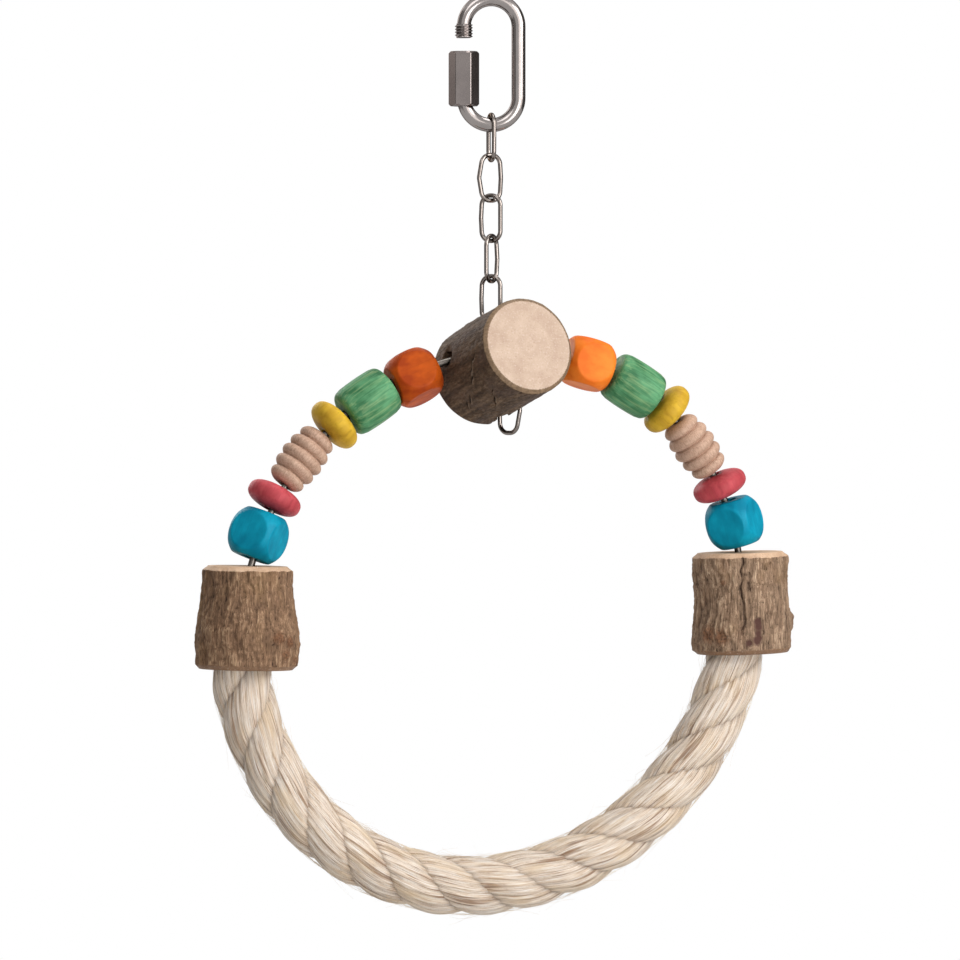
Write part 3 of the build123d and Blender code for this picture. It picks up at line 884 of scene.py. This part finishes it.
def bead(side, name, slot, material, outline=None):
    """One bead at its place on the wire: turned from an outline, or a soft-edged copy of its CAD cube."""
    joint = joint_of(f"{side}_{name}")
    point = Vector(joint["pos_m"])
    place = place_on(point, joint["axis"], point - hoop_centre)
    if outline:
        piece = lathe(f"{side}_{name}_wood", outline(bore_at(point)))
        piece.matrix_world = place
    else:
        piece = dense_copy(f"{side}_{name}", f"{side}_{name}_wood", place, cube_voxel, smooth_steps=3)
    piece.data.materials.append(material)
    finish_piece(piece, f"{side}_{name}", slot, f"{side}_{name}")


# Steel


def quick_link():
    """The bent rod of the quick link and the thread on its stud."""
    heading = radians(eye_turn)
    right = np.array([cos(heading), sin(heading), 0.0])
    up = np.array([0.0, 0.0, 1.0])
    normal = np.array([sin(heading), -cos(heading), 0.0])
    bend = eye_width / 2 + rod_radius
    top, foot = -eye_width / 2, eye_width / 2 - eye_length
    flat = [(-bend, top - stud_length + 0.2 * MM)]
    flat += [(bend * cos(a), top + bend * sin(a)) for a in np.linspace(pi, 0, 49)]
    flat += [(bend, top + (foot - top) * share) for share in np.linspace(0.1, 0.9, 9)]
    flat += [(bend * cos(a), foot + bend * sin(a)) for a in np.linspace(0, -pi, 49)]
    flat += [(-bend, sleeve_top - spigot_depth)]
    rod = planar_tube("quick_link_rod", [x * right + z * up for x, z in flat], normal, rod_radius, rod_sides)
    rod.data.materials.append(link_material)
    finish_piece(rod, "quick_link", "quick_link_steel", "quick_link")
    turns = np.linspace(0, 2 * pi, thread_sides, endpoint=False)
    heights = np.linspace(0, thread_length, thread_rows)
    climb = (heights[:, None] / thread_pitch - turns[None, :] / (2 * pi)) % 1
    end = np.minimum(heights, thread_length - heights)[:, None]
    radius = thread_radius - thread_depth * np.abs(2 * climb - 1) - np.clip(thread_taper - end, 0, 1)
    radius[-1], radius[0] = rod_radius * 0.9, rod_radius * 0.8
    centre = -bend * right + (top - stud_length) * up
    side = np.cos(turns)[None, :, None] * right - np.sin(turns)[None, :, None] * normal
    points = centre + radius[..., None] * side + heights[:, None, None] * up
    stud = mesh_object("quick_link_thread", points.reshape(-1, 3), tube_faces(thread_rows, thread_sides))
    stud.data.materials.append(link_material)
    finish_piece(stud, "quick_link", "quick_link_steel")


def sleeve():
    """The hexagonal sleeve: flats with eased edges, turned chamfers at both ends and a bore for the stud."""
    low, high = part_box("quick_link_sleeve")
    flat = sleeve_flats / 2
    corner = flat / cos(pi / 6)
    across = np.array([-28.6, -27.4, -14, 0, 14, 27.4, 28.6])
    turns = np.concatenate([np.radians(face + across) for face in range(0, 360, 60)])
    lean = (turns + pi / 6) % (pi / 3) - pi / 6
    hexagon = flat / np.cos(lean)
    length = high.z - low.z
    heights = np.array([0, 0.25, 0.5, 0.8, 1.0, 2.0, 9.8]) * MM
    heights = np.concatenate([heights, length - heights[-2::-1]])
    blank = corner - np.clip(sleeve_chamfer - np.minimum(heights, length - heights), 0, 1)
    radius = np.minimum(hexagon[None, :], blank[:, None])
    inner = np.full((2, len(turns)), sleeve_bore)
    radius = np.concatenate([radius, inner])
    heights = np.concatenate([heights, [length, 0]])
    points = np.stack([radius * np.cos(turns), radius * np.sin(turns), heights[:, None] + 0 * radius], axis=-1)
    faces = grid_faces(*radius.shape, closed_rows=True)
    piece = mesh_object("hex_sleeve", points.reshape(-1, 3), faces, smooth=False)
    middle = (low + high) / 2
    foot = Matrix.Translation((middle.x, middle.y, low.z))
    piece.matrix_world = foot @ Matrix.Rotation(radians(sleeve_turn), 4, "Z")
    piece.data.materials.append(sleeve_material)
    finish_piece(piece, "sleeve", "quick_link_steel", "quick_link_sleeve")


def dress_node(node, material):
    """Gives a CAD node that stays in sight its material."""
    mesh = frame["nodes"][node].data
    mesh.materials.clear()
    mesh.materials.append(material)


# Studio


def area_light(name, place, target, size, power):
    """A soft square lamp that shines from a place towards a target."""
    lamp = bpy.data.lights.new(name, "AREA")
    lamp.size = size
    lamp.energy = power
    holder = bpy.data.objects.new(name, lamp)
    holder.location = place
    holder.rotation_euler = (Vector(target) - Vector(place)).to_track_quat("-Z", "Y").to_euler()
    bpy.context.scene.collection.objects.link(holder)


def white_to_sight(tree, shade, output, light):
    """Mixes a shader with white light, of a kind of node, for what the camera, reflections and clear things see."""
    path = tree.nodes.new("ShaderNodeLightPath")
    seen = path.outputs["Is Camera Ray"]
    for ray in ("Is Glossy Ray", "Is Transmission Ray"):
        either = tree.nodes.new("ShaderNodeMath")
        either.operation = "ADD"
        either.use_clamp = True
        tree.links.new(seen, either.inputs[0])
        tree.links.new(path.outputs[ray], either.inputs[1])
        seen = either.outputs["Value"]
    white = tree.nodes.new(light)
    white.inputs["Color"].default_value = (1, 1, 1, 1)
    mix = tree.nodes.new("ShaderNodeMixShader")
    tree.links.new(seen, mix.inputs["Fac"])
    tree.links.new(shade, mix.inputs[1])
    tree.links.new(white.outputs[0], mix.inputs[2])
    tree.links.new(mix.outputs["Shader"], output.inputs["Surface"])


def studio():
    """A pale floor below the swing, white surroundings and soft lamps."""
    world = bpy.data.worlds.new("studio")
    bpy.context.scene.world = world
    world.use_nodes = True
    tree = world.node_tree
    sky = tree.nodes["Background"]
    sky.inputs["Color"].default_value = (1, 1, 1, 1)
    sky.inputs["Strength"].default_value = sky_strength
    white_to_sight(tree, sky.outputs["Background"], tree.nodes["World Output"], "ShaderNodeBackground")
    square = ((-1, -1), (1, -1), (1, 1), (-1, 1))
    corners = [(x * floor_half, y * floor_half, floor_height) for x, y in square]
    floor = mesh_object("floor", corners, [(0, 1, 2, 3)])
    shader = Shader("floor").set(Base_Color=(0.6, 0.6, 0.6, 1), Roughness=0.9)
    tree = shader.material.node_tree
    white_to_sight(tree, shader.surface.outputs["BSDF"], tree.nodes["Material Output"], "ShaderNodeEmission")
    floor.data.materials.append(shader.material)
    middle = (0, 0, -0.17)
    area_light("key", (0.62, -0.8, 0.35), middle, 0.7, 9.5)
    area_light("front", (0.1, -1.15, -0.3), (0, 0, -0.27), 0.5, 4.5)
    area_light("left", (-0.7, -0.65, 0.6), middle, 0.5, 2.3)
    area_light("top", (0.2, 0.05, 0.95), middle, 0.5, 5)
    area_light("back", (-0.4, 1.1, 0.35), middle, 0.7, 5)


def reflection_card(name, first, last, brightness):
    """An upright card, bent round the swing between two azimuths, that only reflections see: it glows, painting
    bright or dim reflections on the metal and the beads' gloss.
    """
    points = []
    for azimuth in np.radians(np.linspace(first, last, card_columns)):
        x, y = card_distance * sin(azimuth), -card_distance * cos(azimuth)
        points += [(x, y, card_low), (x, y, card_high)]
    piece = mesh_object(name, points, grid_faces(card_columns, 2, closed_columns=False))
    glow = (*(brightness * c for c in card_tint), 1)
    shader = Shader(name).set(Base_Color=(0, 0, 0, 1), Emission_Color=glow, Emission_Strength=1.0)
    piece.data.materials.append(shader.material)
    piece.visible_camera = piece.visible_diffuse = piece.visible_shadow = piece.visible_transmission = False


def camera():
    """The photograph's view: a long lens from the left front, level with the swing's middle."""
    azimuth, elevation = radians(-20.0), radians(1.0)
    distance = 2.5
    seen_width = 342.7 * MM
    beside, below = -4.0 * MM, -169.1 * MM
    toward = Vector((sin(azimuth) * cos(elevation), -cos(azimuth) * cos(elevation), sin(elevation)))
    right = Vector((cos(azimuth), sin(azimuth), 0))
    up = toward.cross(right)
    lens = bpy.data.cameras.new("camera")
    lens.sensor_width = 36
    lens.lens = lens.sensor_width * distance / seen_width
    lens.clip_end = 20
    holder = bpy.data.objects.new("camera", lens)
    target = right * beside + up * below
    holder.location = target + toward * distance
    holder.rotation_euler = (-toward).to_track_quat("-Z", "Y").to_euler()
    bpy.context.scene.collection.objects.link(holder)
    bpy.context.scene.camera = holder


bpy.context.scene.view_settings.view_transform = "Standard"
camera()
studio()
# Glowing cards that only reflections see: a painted reflection of a bright surround at the front right, and dim
# painted reflections at the sides
reflection_card("bright_card", -14, 46, 2.8)
reflection_card("right_card", 54, 150, 0.13)
reflection_card("left_card", -165, -62, 0.3)

link_material = steel("link_steel", (0.58, 0.555, 0.545), 0.15)
chain_material = steel("chain_steel", (0.5, 0.47, 0.45), 0.14)
sleeve_material = steel("sleeve_steel", (0.5, 0.47, 0.46), 0.22)
# Darker and duller than real steel: painted shade, so that the wire in the gaps between the beads reads as shadow
shaded_wire_material = steel("shaded_wire_steel", (0.4, 0.38, 0.36), 0.28)
brown_bark = collar_bark("left_collar_bark", (0.77, 0.64, 0.51), (0.55, 0.425, 0.325), (0.21, 0.145, 0.105))
grey_bark = collar_bark("right_collar_bark", (0.8, 0.69, 0.58), (0.6, 0.49, 0.395), (0.22, 0.155, 0.12))
collar_top_material = cut_wood("collar_top", (0.82, 0.69, 0.57), (0.66, 0.52, 0.41))
# A darker copy of the collar's cut wood for the downward end: painted shade under the collar
shaded_collar_foot_material = cut_wood("shaded_collar_foot", (0.56, 0.43, 0.32), (0.42, 0.31, 0.23))

rope_fibres(rope())

# Swells are (height, out) in millimetres. Warts and bare patches are places for knots()
left_swell = [(-18, -0.5), (-14, -0.2), (-9, 0.8), (-5, 0.8), (0, 0.2), (5, -0.1), (12, -0.5), (18, -0.2)]
left_warts = [(0.33, -12.5, 2.0, 1.0), (0.386, -14.5, 1.6, 0.8), (0.305, -6.5, 2.6, 0.6), (0.35, -8.0, 2.2, 0.9)]
right_swell = [(-18, -0.2), (-12, 0.1), (-4, -0.3), (4, -0.5), (12, 0.1), (18, 0.0)]
right_warts = [(-0.43, -10.5, 4.0, 0.3), (-0.38, -11.5, 3.6, 0.3), (0.0, -7.0, 4.0, 0.5), (-0.37, 8.0, 1.2, 0.5)]
right_bare = [(-0.255, height, 2.1, 0.0) for height in (-6.5, -8.5, -10.5, -12.5)]
right_bare += [(-0.262, -13.3, 2.3, 0.0), (-0.287, -14.0, 1.9, 0.0)]
collar("left", left_collar_angle, 1, 101, brown_bark, left_swell, left_warts, 0.55, [(0.7, -9.0, 2.0, 0.0)])
collar("right", right_collar_angle, -1, 201, grey_bark, right_swell, right_warts, -0.305, right_bare)
centre_log()
quick_link()
sleeve()
dress_node("hoop_wire", shaded_wire_material)
for number in range(1, 9):
    dress_node(f"chain_link_{number}", chain_material)

blue = dyed_wood("blue_dye", (0.03, 0.59, 0.7), (0.0, 0.48, 0.59), 0.0, 0.15)
red = dyed_wood("red_dye", (0.77, 0.315, 0.345), (0.64, 0.235, 0.26), 0.08, 0.3)
yellow = dyed_wood("yellow_dye", (0.86, 0.7, 0.21), (0.72, 0.55, 0.16), 0.1, 0.35)
green = dyed_wood("green_dye", (0.38, 0.62, 0.44), (0.22, 0.43, 0.28), 0.6, 0.55)
orange = dyed_wood("orange_dye", (0.96, 0.53, 0.18), (0.89, 0.42, 0.11), 0.0, 0.1)
# A darker, redder copy of the orange dye for the left cube: painted shadow of the log beside it
shaded_orange = dyed_wood("shaded_orange_dye", (0.78, 0.34, 0.08), (0.62, 0.23, 0.05), 0.0, 0.25)
natural = bare_wood("bare_wood", (0.8, 0.67, 0.58), (0.62, 0.48, 0.4))
for side in ("left", "right"):
    bead(side, "blue_cube", "blue_wood", blue)
    bead(side, "red_bead", "red_wood", red, rondelle_outline)
    bead(side, "ribbed_bead", "natural_wood", natural, ribbed_outline)
    bead(side, "yellow_bead", "yellow_wood", yellow, rondelle_outline)
    bead(side, "green_barrel", "green_wood", green, barrel_outline)
    # The left orange cube takes the darker copy of the dye, as painted shadow of the log
    bead(side, "orange_cube", "orange_wood", shaded_orange if side == "left" else orange)
